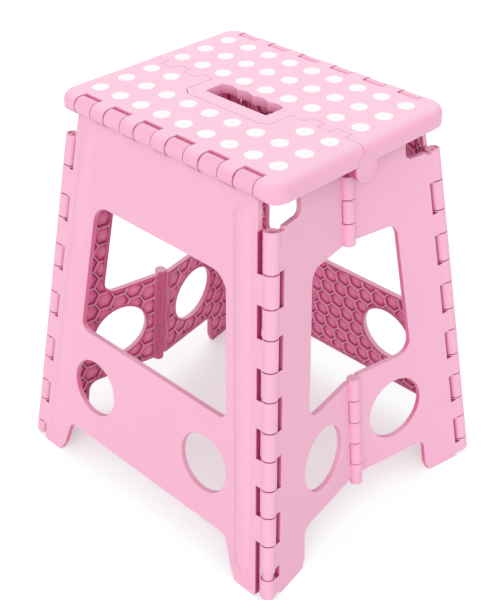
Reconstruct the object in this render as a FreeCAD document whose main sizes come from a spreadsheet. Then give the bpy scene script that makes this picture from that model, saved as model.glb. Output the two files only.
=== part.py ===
"""Folding step stool: two seat halves, two leg panels and four side leaves on moulded hinges.

The frame has +Z up and its origin on the floor under the middle of the seat. X runs along the
seat's fold line and Y from the front panel to the rear panel. All sizes are in millimetres.
"""
import FreeCAD, Part
import os
from math import atan2, cos, degrees, radians, sin, tan

V = FreeCAD.Vector
doc = FreeCAD.newDocument("folding_step_stool")

# Driving dimensions: name, value, what it is
SIZES = (
    ("seat_top_height", 450.0, "floor to the top of the seat"),
    ("seat_width", 308.0, "seat along the fold line"),
    ("seat_depth", 258.0, "seat across the fold line"),
    ("seat_thickness", 20.0, "seat edge from top to bottom"),
    ("seat_corner_radius", 22.0, "seat corner seen from above"),
    ("seat_edge_round", 9.5, "rounding of the seat's upper edge"),
    ("deck_thickness", 3.5, "top skin of a seat half"),
    ("seat_wall", 3.5, "side wall of a seat half"),
    ("seat_rib", 2.5, "rib under a seat half"),
    ("seat_beam", 24.0, "solid edge beam that holds the edge hinge"),
    ("fold_beam", 14.0, "solid beam beside the fold line"),
    ("part_gap", 0.6, "gap between pieces that move past each other"),
    ("fold_tooth_reach", 5.0, "how far a fold tooth crosses the fold line"),
    ("fold_tooth_pitch", 17.3, "width of one fold tooth"),
    ("fold_knuckle_radius", 9.0, "centre hinge knuckle"),
    ("fold_lug_radius", 14.5, "round lug at the seat's side"),
    ("fold_lug_width", 11.0, "thickness of the round lug"),
    ("fold_pin_radius", 4.0, "centre hinge pin"),
    ("pin_head_radius", 11.0, "disc head of the centre hinge pin"),
    ("pin_head_thickness", 2.0, "disc head of the centre hinge pin"),
    ("pin_head_sink", 0.6, "disc head below the lug's face"),
    ("tongue_half_width", 60.0, "handle tongue, half its width"),
    ("tongue_reach", 39.5, "handle tongue past the fold line"),
    ("tongue_chamfer_along", 10.0, "cut corner of the tongue, along the fold line"),
    ("tongue_chamfer_across", 7.0, "cut corner of the tongue, across the fold line"),
    ("handle_length", 86.0, "finger slot along the fold line"),
    ("handle_front", 22.0, "finger slot's front edge from the fold line"),
    ("handle_back", 2.5, "finger slot's back edge from the fold line"),
    ("handle_corner", 2.5, "finger slot's front corners"),
    ("handle_wall", 3.0, "wall round the finger slot"),
    ("handle_wall_depth", 10.0, "that wall from the top of the seat down"),
    ("grip_wave", 3.0, "depth of a finger wave in the slot's back edge"),
    ("dot_radius", 9.0, "grip dot"),
    ("dot_thickness", 1.3, "grip dot"),
    ("dot_recess", 1.0, "pocket that a grip dot sits in"),
    ("dot_column_pitch", 31.4, "grip dots along the fold line"),
    ("dot_row_pitch", 34.6, "grip dots across the fold line"),
    ("dot_first_row", 22.2, "first row of dots from the fold line"),
    ("edge_round", 10.0, "seat edge about the edge hinge"),
    ("edge_knuckle_radius", 9.6, "panel knuckle in the seat edge"),
    ("edge_knuckle_width", 23.5, "panel knuckle in the seat edge"),
    ("edge_knuckle_pitch", 45.5, "panel knuckles along the seat edge"),
    ("edge_knuckle_shift", 3.0, "row of panel knuckles off the middle, to the panel's right"),
    ("edge_knuckle_play", 0.4, "radial gap round a panel knuckle"),
    ("edge_knuckle_gap", 1.6, "gap at each end of a panel knuckle"),
    ("edge_notch_lip", 8.0, "edge hinge axis to the back of the notch in the deck"),
    ("edge_pin_radius", 4.0, "edge hinge pin"),
    ("edge_pin_end", 12.0, "edge hinge pin past the outer knuckles"),
    ("corner_top_height", 401.0, "top of the corner hinge tubes"),
    ("corner_top_half_width", 143.0, "corner hinge at that height, from the middle along X"),
    ("corner_top_half_depth", 117.5, "corner hinge at that height, from the middle along Y"),
    ("corner_foot_half_width", 191.7, "corner hinge at the floor, from the middle along X"),
    ("corner_foot_half_depth", 167.7, "corner hinge at the floor, from the middle along Y"),
    ("corner_radius", 8.0, "corner hinge knuckle"),
    ("corner_pin_radius", 5.8, "corner hinge pin"),
    ("corner_pin_hole", 1.6, "moulding hole in the end of a corner pin"),
    ("corner_pin_hole_depth", 12.0, "moulding hole in the end of a corner pin"),
    ("panel_corner_gap", 11.3, "corner hinge axis to the edge of a panel"),
    ("leaf_corner_gap", 12.5, "corner hinge axis to the edge of a leaf"),
    ("knuckle_gap", 1.2, "gap between neighbours on a corner or side hinge"),
    ("knuckle_round", 0.8, "rounded ends of those knuckles"),
    ("right_band_top", 359.6, "top of the highest band at a panel's right-hand corner"),
    ("right_band_length", 32.8, "one of those bands along the hinge"),
    ("right_band_pitch", 65.6, "those bands along the hinge"),
    ("left_band_top", 366.0, "top of the highest band at a panel's left-hand corner"),
    ("left_band_length", 33.4, "one of those bands along the hinge"),
    ("left_band_pitch", 63.2, "those bands along the hinge"),
    ("foot_knuckle_top", 26.5, "top of the leaf's foot knuckle"),
    ("foot_knuckle_base", 2.6, "closed lower end of the leaf's foot knuckle"),
    ("foot_knuckle_floor", 4.0, "thickness of that closed end"),
    ("tube_end_round", 1.2, "rounding of the corner tube's ends"),
    ("foot_round", 3.6, "rounding of the foot knuckle's lower end"),
    ("running_fit", 0.05, "radial clearance of a hinge pin"),
    ("axis_gap", 0.5, "corner hinge axis to the inner face of a plate"),
    ("panel_thickness", 6.3, "leg panel over its rim"),
    ("leaf_thickness", 6.2, "side leaf over its rim"),
    ("skin", 2.2, "outer skin of a panel or leaf"),
    ("rim", 3.0, "rim round a panel or leaf"),
    ("edge_softness", 1.0, "rounding of a plate's outer edges"),
    ("foot_corner", 5.0, "lower corners of a foot"),
    ("panel_window_top", 339.0, "panel window"),
    ("panel_window_bottom", 183.5, "panel window"),
    ("panel_window_top_half", 97.5, "panel window, half its width at the top"),
    ("panel_window_bottom_half", 115.0, "panel window, half its width at the bottom"),
    ("window_top_radius", 22.0, "upper corners of a window"),
    ("window_bottom_radius", 10.0, "lower corners of a window"),
    ("front_hole_radius", 33.5, "round hole in a leg of the front panel"),
    ("front_hole_offset", 89.0, "that hole from the middle of the panel"),
    ("front_hole_height", 117.0, "that hole above the floor"),
    ("rear_hole_radius", 35.5, "round hole in a leg of the rear panel"),
    ("rear_hole_offset", 78.0, "that hole from the middle of the panel"),
    ("rear_hole_height", 119.0, "that hole above the floor"),
    ("panel_arch_height", 48.0, "foot arch of a panel"),
    ("panel_arch_half", 130.0, "foot arch of a panel, half its width at the top"),
    ("panel_foot_step", 14.0, "height where the foot starts to narrow"),
    ("panel_foot_half", 141.0, "foot's inner edge at that height"),
    ("panel_foot_inner", 150.0, "foot's inner edge at the floor"),
    ("arch_radius", 12.0, "corners of a foot arch"),
    ("bead_width", 22.0, "raised bead on a panel leg"),
    ("bead_rise", 3.6, "raised bead on a panel leg"),
    ("bead_inset", 31.0, "bead from the corner hinge axis"),
    ("bead_bottom", 14.0, "lower end of the bead above the floor"),
    ("bead_top", 420.0, "upper end of the bead above the floor"),
    ("bead_run_out", 14.0, "length over which the bead fades into the leg"),
    ("side_fold_angle", 10.0, "degrees that each open side leaf stands inwards"),
    ("leaf_fold_offset", 8.2, "corner hinge axis to the middle of the folded stack"),
    ("leaf_edge_gap", 4.5, "side hinge axis to the edge of a leaf"),
    ("side_radius", 7.0, "side hinge knuckle"),
    ("side_play", 1.2, "gap between a side knuckle and the other leaf"),
    ("side_pin_radius", 3.0, "side hinge pin"),
    ("upper_tube_top", 409.0, "upper side hinge"),
    ("upper_tube_bottom", 333.0, "upper side hinge"),
    ("lower_tube_top", 177.0, "lower side hinge"),
    ("lower_tube_bottom", 38.0, "lower side hinge"),
    ("leaf_top", 424.0, "top edge of a leaf"),
    ("leaf_top_middle", 412.0, "top edge of a leaf beside the side hinge"),
    ("leaf_top_step", 22.0, "side hinge to the step in the top edge"),
    ("leaf_notch_half", 77.0, "side hinge to the notch above the corner tube"),
    ("leaf_notch_radius", 8.0, "inner corner of that notch"),
    ("leaf_window_top", 335.0, "leaf window"),
    ("front_leaf_window_bottom", 172.5, "window of a right front or left rear leaf"),
    ("rear_leaf_window_bottom", 175.5, "window of a right rear or left front leaf"),
    ("leaf_window_top_half", 64.5, "leaf window from the side hinge at the top"),
    ("leaf_window_bottom_half", 83.5, "leaf window from the side hinge at the bottom"),
    ("leaf_window_radius", 15.0, "leaf window corners"),
    ("leaf_hole_radius", 36.5, "round hole in a leaf"),
    ("leaf_hole_offset", 60.0, "round hole from the side hinge"),
    ("leaf_hole_height", 110.0, "round hole above the floor"),
    ("leaf_arch_height", 46.5, "foot arch of a leaf"),
    ("leaf_arch_half", 103.0, "foot arch of a leaf from the side hinge"),
    ("leaf_foot_step", 12.0, "height where the foot starts to narrow"),
    ("leaf_foot_half", 106.0, "foot's inner edge at that height"),
    ("leaf_foot_inner", 112.0, "foot's inner edge at the floor"),
    ("floor_trim", 1.5, "stock below the floor that is cut off flat"),
)
EDGE_KNUCKLES = 6
RIGHT_BANDS = 5
LEFT_BANDS = 6
FOLD_TEETH = 5
SEAT_CELL_COLUMNS = 6
DOT_COLUMNS = 9
DOT_ROWS = 3
GRIP_WAVES = 4
UPPER_SLOTS = 3
LOWER_SLOTS = 5
TOLERANCE = 0.01

sheet = doc.addObject("Spreadsheet::Sheet", "Sizes")
for row, (alias, number, meaning) in enumerate(SIZES, start=1):
    sheet.set(f"A{row}", meaning)
    sheet.set(f"B{row}", str(number))
    sheet.setAlias(f"B{row}", alias)
doc.recompute()


def size(alias):
    """Return one driving dimension from the sheet."""
    return float(sheet.get(alias))


# Hinge lines that follow from the driving dimensions
EDGE_AXIS_Y = size("seat_depth") / 2 - size("edge_round")
EDGE_AXIS_Z = size("seat_top_height") - size("edge_round")
PANEL_LEAN = atan2(size("corner_foot_half_depth") - size("corner_top_half_depth"), size("corner_top_height"))
CORNER_FOOT = V(size("corner_foot_half_width"), -size("corner_foot_half_depth"), 0)
CORNER_TOP = V(size("corner_top_half_width"), -size("corner_top_half_depth"), size("corner_top_height"))
CORNER_LINE = (CORNER_TOP - CORNER_FOOT).normalize()


def frame(origin, across, along):
    """Placement with its Z along one direction and its X as near as possible to another."""
    return FreeCAD.Placement(origin, FreeCAD.Rotation(across, along.cross(across), along, "ZXY"))


def into(placement, point):
    """Point of the world in the coordinates of a placement."""
    return placement.inverse().multVec(point)


PANEL_FACING = V(0, -cos(PANEL_LEAN), sin(PANEL_LEAN))
PANEL_FRAME = frame(V(0, -size("corner_foot_half_depth"), 0), V(1, 0, 0), PANEL_FACING)
EDGE_AXIS = into(PANEL_FRAME, V(0, -EDGE_AXIS_Y, EDGE_AXIS_Z))
# The fold line hangs below the edge hinges, so that the folded panels and leaves fit between the seat halves
FOLD_AXIS_Z = EDGE_AXIS_Z - size("leaf_fold_offset") - EDGE_AXIS.z
HALF_TURN = FreeCAD.Placement(V(0, 0, 0), FreeCAD.Rotation(V(0, 0, 1), 180))


def leaf_frame(side):
    """Frame of a right-hand leaf: X level in the leaf, Y up the leaf, Z outwards.

    side is -1 for the front leaf and 1 for the rear leaf. The origin is the corner hinge at the floor.
    """
    foot = V(CORNER_FOOT.x, -side * CORNER_FOOT.y, 0)
    line = V(CORNER_LINE.x, -side * CORNER_LINE.y, CORNER_LINE.z)
    square = line.cross(V(0, 1, 0)).normalize()
    square = square if square.x > 0 else -square
    outward = FreeCAD.Rotation(line, -side * size("side_fold_angle")).multVec(square)
    level = V(-outward.y, outward.x, 0).normalize()
    return frame(foot, level, outward)


# Outlines

def outline(points):
    """Closed outline of lines and arcs through (x, y, corner radius) points."""
    starts = []
    ends = []
    arcs = []
    for index, (x, y, radius) in enumerate(points):
        here = V(x, y, 0)
        before = V(*points[index - 1][:2], 0)
        after = V(*points[(index + 1) % len(points)][:2], 0)
        back = (before - here).normalize()
        onward = (after - here).normalize()
        half = back.getAngle(onward) / 2
        if radius <= 0:
            starts.append(here)
            ends.append(here)
            continue
        reach = radius / tan(half)
        middle = (back + onward).normalize()
        centre = here + middle * (radius / sin(half))
        starts.append(here + back * reach)
        ends.append(here + onward * reach)
        arcs.append(Part.Arc(starts[-1], centre - middle * radius, ends[-1]))
    lines = []
    for index, end in enumerate(ends):
        start = starts[(index + 1) % len(points)]
        lines.append(Part.LineSegment(end, start))
    return lines + arcs


def inset(points, distance):
    """Points of an outline moved inwards by a distance. The points run counter-clockwise."""
    moved = []
    for index, (x, y, radius) in enumerate(points):
        here = V(x, y, 0)
        back = (here - V(*points[index - 1][:2], 0)).normalize()
        onward = (V(*points[(index + 1) % len(points)][:2], 0) - here).normalize()
        left_back = V(-back.y, back.x, 0)
        left_onward = V(-onward.y, onward.x, 0)
        turn = back.x * onward.y - back.y * onward.x
        corner = here + (left_back + left_onward) * (distance / (1 + left_back.dot(left_onward)))
        rounded = radius - distance if turn > 0 else radius + distance
        moved.append((corner.x, corner.y, max(rounded, 0) if radius > 0 else 0))
    return moved


def box_outline(x0, x1, y0, y1, radius=0):
    """Rectangle with rounded corners."""
    return outline([(x0, y0, radius), (x1, y0, radius), (x1, y1, radius), (x0, y1, radius)])


def circle(x, y, radius):
    """Full circle of a sketch."""
    return Part.Circle(V(x, y, 0), V(0, 0, 1), radius)


# Features of a body

def sketch(body, name, curves, place=FreeCAD.Placement()):
    """Sketch of the given curves, placed from the body's XY plane."""
    profile = body.newObject("Sketcher::SketchObject", name)
    plane = next(item for item in body.Origin.OriginFeatures if item.Role == "XY_Plane")
    profile.AttachmentSupport = (plane, [""])
    profile.MapMode = "FlatFace"
    profile.AttachmentOffset = place
    profile.addGeometry(curves, False)
    return profile


def volume_of(body):
    """Volume of the body as it stands."""
    doc.recompute()
    return 0 if body.Shape.isNull() else body.Shape.Volume


def pad(body, name, curves, length, place=FreeCAD.Placement()):
    """Pad a sketch by a length written as an expression."""
    feature = body.newObject("PartDesign::Pad", name)
    feature.Profile = sketch(body, name + "_outline", curves, place)
    feature.setExpression("Length", length)
    body.Tip = feature
    return feature


def pocket(body, name, curves, length, place=FreeCAD.Placement(), upwards=False):
    """Cut a sketch into the body, to a depth or right through."""
    before = volume_of(body)
    feature = body.newObject("PartDesign::Pocket", name)
    feature.Profile = sketch(body, name + "_outline", curves, place)
    feature.Reversed = upwards
    if length:
        feature.setExpression("Length", length)
    else:
        feature.Type = "ThroughAll"
        feature.Midplane = True
    body.Tip = feature
    if volume_of(body) >= before:
        raise RuntimeError(f"{name} cuts nothing from {body.Label}")
    return feature


def turned(body, name, curves, place, angle=360.0, cut=False):
    """Turn a sketch about its own vertical axis, to add to the body or to cut from it."""
    before = volume_of(body)
    feature = body.newObject("PartDesign::Groove" if cut else "PartDesign::Revolution", name)
    feature.Profile = sketch(body, name + "_outline", curves, place)
    feature.ReferenceAxis = (feature.Profile[0], ["V_Axis"])
    feature.Angle = angle
    feature.Midplane = True
    body.Tip = feature
    if cut and volume_of(body) >= before:
        raise RuntimeError(f"{name} cuts nothing from {body.Label}")
    return feature


def rod(body, name, radius, length, start, along, cut=False):
    """Round bar added to the body or bored from it. Radius and length are expressions."""
    kind = "PartDesign::SubtractiveCylinder" if cut else "PartDesign::AdditiveCylinder"
    before = volume_of(body)
    feature = body.newObject(kind, name)
    feature.setExpression("Radius", radius)
    feature.setExpression("Height", length)
    feature.Placement = FreeCAD.Placement(start, FreeCAD.Rotation(V(0, 0, 1), along))
    body.Tip = feature
    if cut and volume_of(body) >= before:
        raise RuntimeError(f"{name} cuts nothing from {body.Label}")
    return feature


def repeat(body, name, features, length, count):
    """Repeat features along the normal of the first one's sketch."""
    feature = body.newObject("PartDesign::LinearPattern", name)
    feature.Originals = features
    feature.Direction = (features[0].Profile[0], ["N_Axis"])
    feature.setExpression("Length", length)
    feature.Occurrences = count
    body.Tip = feature
    return feature


def soften(body, plate):
    """Round the edges of a plate's outer face, which is the one that its pad ends on."""
    doc.recompute()
    faces = plate.Shape.Faces
    outer = max(range(len(faces)), key=lambda index: faces[index].CenterOfMass.z)
    feature = body.newObject("PartDesign::Fillet", "soft_edges")
    feature.Base = (plate, [f"Face{outer + 1}"])
    feature.setExpression("Radius", "Sizes.edge_softness")
    body.Tip = feature
    return feature


def named(item, label, place=FreeCAD.Placement()):
    """Give a finished sub-part its label and its place."""
    item.Label = label
    item.Placement = place
    return item


# Hinge knuckles on a tilted corner line

def corner_knuckles(body, name, foot, line, reach, ranges, thickness):
    """Knuckles on a corner line with the tabs that reach from them into the plate.

    Each range is (start, end, lower rounding, upper rounding), measured along the line from the floor.
    """
    outward = V(0, 0, 1)
    radius = size("corner_radius")
    tabs = []
    rings = []
    for start, end, low_round, high_round in ranges:
        tabs += box_outline(start + low_round, end - high_round, min(0, reach), max(0, reach))
        rings += outline([(0, start, 0), (radius, start, low_round), (radius, end, high_round), (0, end, 0)])
    pad(body, name + "_tabs", tabs, thickness, frame(foot + outward * size("axis_gap"), line, outward))
    turned(body, name + "_rings", rings, about(foot, line))


def about(foot, line):
    """Sketch frame for features turned about a line of the plate: X outwards, Y along the line."""
    outward = V(0, 0, 1)
    return frame(foot, outward, outward.cross(line))


def corner_bore(body, name, foot, line, start, end):
    """Bore for the pin of a corner hinge."""
    radius = size("corner_pin_radius") + size("running_fit")
    turned(body, name + "_bore", box_outline(0, radius, start, end), about(foot, line), cut=True)


def panel_bands(right_hand):
    """Ranges of a panel's bands along the corner line at one of its corners, from the lowest."""
    name = "right" if right_hand else "left"
    top = size(f"{name}_band_top") / CORNER_LINE.z
    count = RIGHT_BANDS if right_hand else LEFT_BANDS
    ends = [top - index * size(f"{name}_band_pitch") for index in reversed(range(count))]
    return [(end - size(f"{name}_band_length"), end) for end in ends]


# Leg panels

def panel_height(height):
    """Distance up the panel for a height above the floor."""
    return height / cos(PANEL_LEAN)


def panel_edge(height, gap):
    """Half width of a panel at a distance from the corner line."""
    slope = (size("corner_foot_half_width") - size("corner_top_half_width")) / size("corner_top_height")
    lean = atan2(slope * cos(PANEL_LEAN), 1)
    return size("corner_foot_half_width") - slope * height - gap / cos(lean)


def panel_points(low):
    """Outline of the plate without its knuckles, down to a height beside the floor."""
    top = EDGE_AXIS.y - size("edge_round") - size("part_gap")
    gap = size("panel_corner_gap")
    right = [
        (size("panel_foot_inner"), low, size("foot_corner")),
        (panel_edge(low, gap), low, size("foot_corner")),
        (panel_edge(top * cos(PANEL_LEAN), gap), top, 0),
    ]
    arch = [
        (size("panel_arch_half"), panel_height(size("panel_arch_height")), size("arch_radius")),
        (size("panel_foot_half"), panel_height(size("panel_foot_step")), size("window_bottom_radius")),
    ]
    left = [(-x, y, r) for x, y, r in reversed(right)]
    left_arch = [(-x, y, r) for x, y, r in reversed(arch)]
    return right + left + left_arch + arch


def panel_window():
    """Outline of the panel's window."""
    top = panel_height(size("panel_window_top"))
    bottom = panel_height(size("panel_window_bottom"))
    top_half = size("panel_window_top_half")
    bottom_half = size("panel_window_bottom_half")
    return [
        (-bottom_half, bottom, size("window_bottom_radius")),
        (bottom_half, bottom, size("window_bottom_radius")),
        (top_half, top, size("window_top_radius")),
        (-top_half, top, size("window_top_radius")),
    ]


def panel_holes(end, margin=0):
    """The two round holes in the legs of the front or rear panel, with a margin round them."""
    height = panel_height(size(f"{end}_hole_height"))
    offset = size(f"{end}_hole_offset")
    return [circle(side * offset, height, size(f"{end}_hole_radius") + margin) for side in (-1, 1)]


def edge_knuckle_middle(index):
    """Place along the seat edge of a panel knuckle, counted from the panel's left."""
    return (index - (EDGE_KNUCKLES - 1) / 2) * size("edge_knuckle_pitch") + size("edge_knuckle_shift")


def panel_bead(body, side):
    """Raised bead along one leg: a shallow ring sector that fades out at both ends."""
    chord = size("bead_width") / 2
    radius = (chord ** 2 + size("bead_rise") ** 2) / (2 * size("bead_rise"))
    base = radius - size("bead_rise") - size("skin") / 3
    face = size("axis_gap") + size("panel_thickness")
    foot_x = panel_edge(0, size("bead_inset"))
    high = size("bead_top")
    line = V(panel_edge(high, size("bead_inset")) - foot_x, panel_height(high), 0).normalize()
    start = size("bead_bottom") / (cos(PANEL_LEAN) * line.y)
    end = size("bead_top") / (cos(PANEL_LEAN) * line.y)
    fade = size("bead_run_out")
    profile = outline([(base, start, 0), (base, end, 0), (radius, end - fade, 0), (radius, start + fade, 0)])
    line = V(side * line.x, line.y, 0)
    origin = V(side * foot_x, 0, face - radius + size("bead_rise"))
    place = frame(origin, V(0, 0, 1), V(0, 0, 1).cross(line))
    sector = 4 * degrees(atan2(size("bead_rise"), chord))
    turned(body, "bead_right" if side > 0 else "bead_left", profile, place, sector)


def trim_at_floor(body, lean, across):
    """Cut the plate off flat at the floor. The sketch lies square to the level direction of the plate."""
    deep = -2 * size("floor_trim")
    far = 3 * size("corner_radius")
    points = [(far * tan(lean), -far, 0), (deep, -far, 0), (deep, far, 0), (-far * tan(lean), far, 0)]
    pocket(body, "floor_cut", outline(points), None, frame(V(0, 0, 0), V(0, 1, 0), across))


def leg_panel(end, place):
    """The front or rear leg panel with its corner bands and edge knuckles."""
    label = f"{end}_panel"
    body = doc.addObject("PartDesign::Body", label + "_body")
    inner_face = FreeCAD.Placement(V(0, 0, size("axis_gap")), FreeCAD.Rotation())
    plate = outline(panel_points(-size("floor_trim"))) + outline(panel_window())
    plate += panel_holes(end)
    soften(body, pad(body, "plate", plate, "Sizes.panel_thickness", inner_face))
    rim = size("rim")
    recess = outline(inset(panel_points(0), rim)) + outline(inset(panel_window(), -rim))
    recess += panel_holes(end, rim)
    pocket(body, "recess", recess, "Sizes.panel_thickness - Sizes.skin", inner_face, upwards=True)
    for side in (-1, 1):
        panel_bead(body, side)
    trim_at_floor(body, PANEL_LEAN, V(1, 0, 0))
    for side in (-1, 1):
        foot = into(PANEL_FRAME, V(side * CORNER_FOOT.x, CORNER_FOOT.y, 0))
        top = into(PANEL_FRAME, V(side * CORNER_TOP.x, CORNER_TOP.y, CORNER_TOP.z))
        line = (top - foot).normalize()
        name = "band_right" if side > 0 else "band_left"
        bands = panel_bands(side > 0)
        rounded = [(low, high, size("knuckle_round"), size("knuckle_round")) for low, high in bands]
        reach = side * (size("panel_corner_gap") + rim / 2)
        corner_knuckles(body, name, foot, line, reach, rounded, "Sizes.panel_thickness")
        corner_bore(body, name, foot, line, bands[0][0], bands[-1][1])
    first = edge_knuckle_middle(0) - size("edge_knuckle_width") / 2
    row = frame(V(first, 0, 0), V(0, 1, 0), V(1, 0, 0))
    neck_foot = EDGE_AXIS.y - size("edge_round") - size("part_gap") - size("rim")
    low = size("axis_gap")
    neck = box_outline(neck_foot, EDGE_AXIS.y, low, low + size("panel_thickness"))
    link = pad(body, "edge_neck", neck, "Sizes.edge_knuckle_width", row)
    ring = pad(body, "edge_knuckle", [circle(EDGE_AXIS.y, EDGE_AXIS.z, size("edge_knuckle_radius"))],
               "Sizes.edge_knuckle_width", row)
    repeat(body, "edge_row", [link, ring], f"Sizes.edge_knuckle_pitch * {EDGE_KNUCKLES - 1}", EDGE_KNUCKLES)
    rod(body, "edge_bore", "Sizes.edge_pin_radius + Sizes.running_fit",
        f"Sizes.edge_knuckle_pitch * {EDGE_KNUCKLES - 1} + Sizes.edge_knuckle_width",
        V(first, EDGE_AXIS.y, EDGE_AXIS.z), V(1, 0, 0), cut=True)
    return named(body, label, place)


# Side leaves

class LeafLines:
    """Hinge lines of a right-hand leaf in the leaf's own frame."""

    def __init__(self, side):
        self.side = side
        self.place = leaf_frame(side)
        up = self.place.Rotation.multVec(V(0, 1, 0))
        level = self.place.Rotation.multVec(V(1, 0, 0))
        outward = self.place.Rotation.multVec(V(0, 0, 1))
        self.lean = atan2(outward.z, up.z)
        self.rise = up.z
        self.drift = -up.y / level.y
        self.reach = (-self.place.Base.y - size("leaf_fold_offset") * outward.y) / level.y
        corner = V(CORNER_LINE.x, -side * CORNER_LINE.y, CORNER_LINE.z)
        self.corner = self.place.Rotation.inverted().multVec(corner)
        self.hinge = V(self.drift, 1, 0).normalize()
        self.hinge_foot = V(self.reach, 0, size("leaf_fold_offset"))

    def knuckles(self, upper):
        """Ranges along the upper or the lower side hinge of the knuckles that belong to this leaf."""
        per_height = 1 / (self.rise * self.hinge.y)
        play = size("knuckle_gap") / 2
        middle = (size("upper_tube_bottom") + size("lower_tube_top")) / 2
        return [(low * per_height + play, high * per_height - play) for low, high, owner in side_slots()
                if owner == self.side and (low > middle) == upper]

    def point(self, distance, height):
        """Point of the leaf at a distance from the side hinge and a height above the floor."""
        up = height / self.rise
        return V(self.reach + self.drift * up + self.side * distance, up, 0)

    def edge(self, height, gap):
        """Point of the leaf beside the corner line."""
        up = height / self.rise
        lean = atan2(self.corner.x, self.corner.y)
        return V(up * tan(lean) - self.side * gap / cos(lean), up, 0)


def tube_slots(top, bottom, count):
    """Height ranges of the knuckles of one side hinge, from the top."""
    step = (top - bottom) / count
    return [(top - step * (index + 1), top - step * index) for index in range(count)]


def side_slots():
    """Knuckle ranges of the upper and the lower side hinge, with the leaf that owns each."""
    slots = []
    upper = tube_slots(size("upper_tube_top"), size("upper_tube_bottom"), UPPER_SLOTS)
    lower = tube_slots(size("lower_tube_top"), size("lower_tube_bottom"), LOWER_SLOTS)
    for row in (upper, lower):
        slots += [(low, high, -1 if index % 2 == 0 else 1) for index, (low, high) in enumerate(row)]
    return slots


def middle_edge(lines, low, high, gap, notched):
    """Edge of a leaf beside the side hinge, upwards, cut back where the other leaf has its knuckles."""
    back = size("side_radius") + size("side_play")
    steps = []
    depth_low = depth_high = gap
    for start, end, owner in sorted(side_slots()):
        if not notched or owner == lines.side or end <= low or start >= high:
            continue
        if start > low:
            steps += [(gap, start), (back, start)]
        else:
            depth_low = back
        if end < high:
            steps += [(back, end), (gap, end)]
        else:
            depth_high = back
    points = []
    for distance, height in [(depth_low, low)] + steps + [(depth_high, high)]:
        spot = lines.point(distance, height)
        points.append((spot.x, spot.y, 0))
    return points


def leaf_points(lines, middle_gap, notched, low):
    """Outline of a leaf down to a height beside the floor, counter-clockwise for the front leaf."""
    edge_gap = size("leaf_corner_gap")
    radius = size("leaf_window_radius")
    sill = size("front_leaf_window_bottom" if lines.side < 0 else "rear_leaf_window_bottom")

    def at(distance, height, corner=0.0):
        spot = lines.point(distance, height)
        return (spot.x, spot.y, corner)

    foot = lines.edge(low, edge_gap)
    ledge = lines.edge(size("corner_top_height"), edge_gap)
    points = [
        (foot.x, foot.y, size("foot_corner")),
        at(size("leaf_foot_inner"), low, size("foot_corner")),
        at(size("leaf_foot_half"), size("leaf_foot_step"), size("leaf_notch_radius")),
        at(size("leaf_arch_half"), size("leaf_arch_height"), size("arch_radius")),
    ]
    points += middle_edge(lines, size("leaf_arch_height"), sill, middle_gap, notched)
    points += [
        at(size("leaf_window_bottom_half"), sill, radius),
        at(size("leaf_window_top_half"), size("leaf_window_top"), radius),
    ]
    points += middle_edge(lines, size("leaf_window_top"), size("leaf_top_middle"), middle_gap, notched)
    points += [
        at(size("leaf_top_step"), size("leaf_top_middle")),
        at(size("leaf_top_step"), size("leaf_top")),
        at(size("leaf_notch_half"), size("leaf_top")),
        at(size("leaf_notch_half"), size("corner_top_height"), size("leaf_notch_radius")),
        (ledge.x, ledge.y, 0),
    ]
    return points if lines.side < 0 else list(reversed(points))


def leaf_hole(lines, radius):
    """Round hole of a leaf."""
    spot = lines.point(size("leaf_hole_offset"), size("leaf_hole_height"))
    return circle(spot.x, spot.y, radius)


def side_leaf(label, side, turn):
    """One side leaf. The left-hand leaves are the right-hand ones after half a turn about Z."""
    lines = LeafLines(side)
    body = doc.addObject("PartDesign::Body", label + "_body")
    inner_face = FreeCAD.Placement(V(0, 0, size("axis_gap")), FreeCAD.Rotation())
    plate = outline(leaf_points(lines, size("leaf_edge_gap"), True, -size("floor_trim")))
    plate.append(leaf_hole(lines, size("leaf_hole_radius")))
    soften(body, pad(body, "plate", plate, "Sizes.leaf_thickness", inner_face))
    rim = size("rim")
    clear = size("side_radius") + size("side_play")
    recess = outline(inset(leaf_points(lines, clear, False, 0), rim))
    recess.append(leaf_hole(lines, size("leaf_hole_radius") + rim))
    pocket(body, "recess", recess, "Sizes.leaf_thickness - Sizes.skin", inner_face, upwards=True)
    trim_at_floor(body, lines.lean, V(1, 0, 0))
    rings = []
    bores = []
    radius = size("side_radius")
    rounding = size("knuckle_round")
    for start, end in lines.knuckles(True) + lines.knuckles(False):
        rings += outline([(0, start, 0), (radius, start, rounding), (radius, end, rounding), (0, end, 0)])
        bores += box_outline(0, size("side_pin_radius") + size("running_fit"), start, end)
    turned(body, "side_rings", rings, about(lines.hinge_foot, lines.hinge))
    turned(body, "side_bores", bores, about(lines.hinge_foot, lines.hinge), cut=True)
    corner_row(body, lines)
    place = lines.place if turn is None else turn.multiply(lines.place)
    return named(body, label, place)


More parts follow.
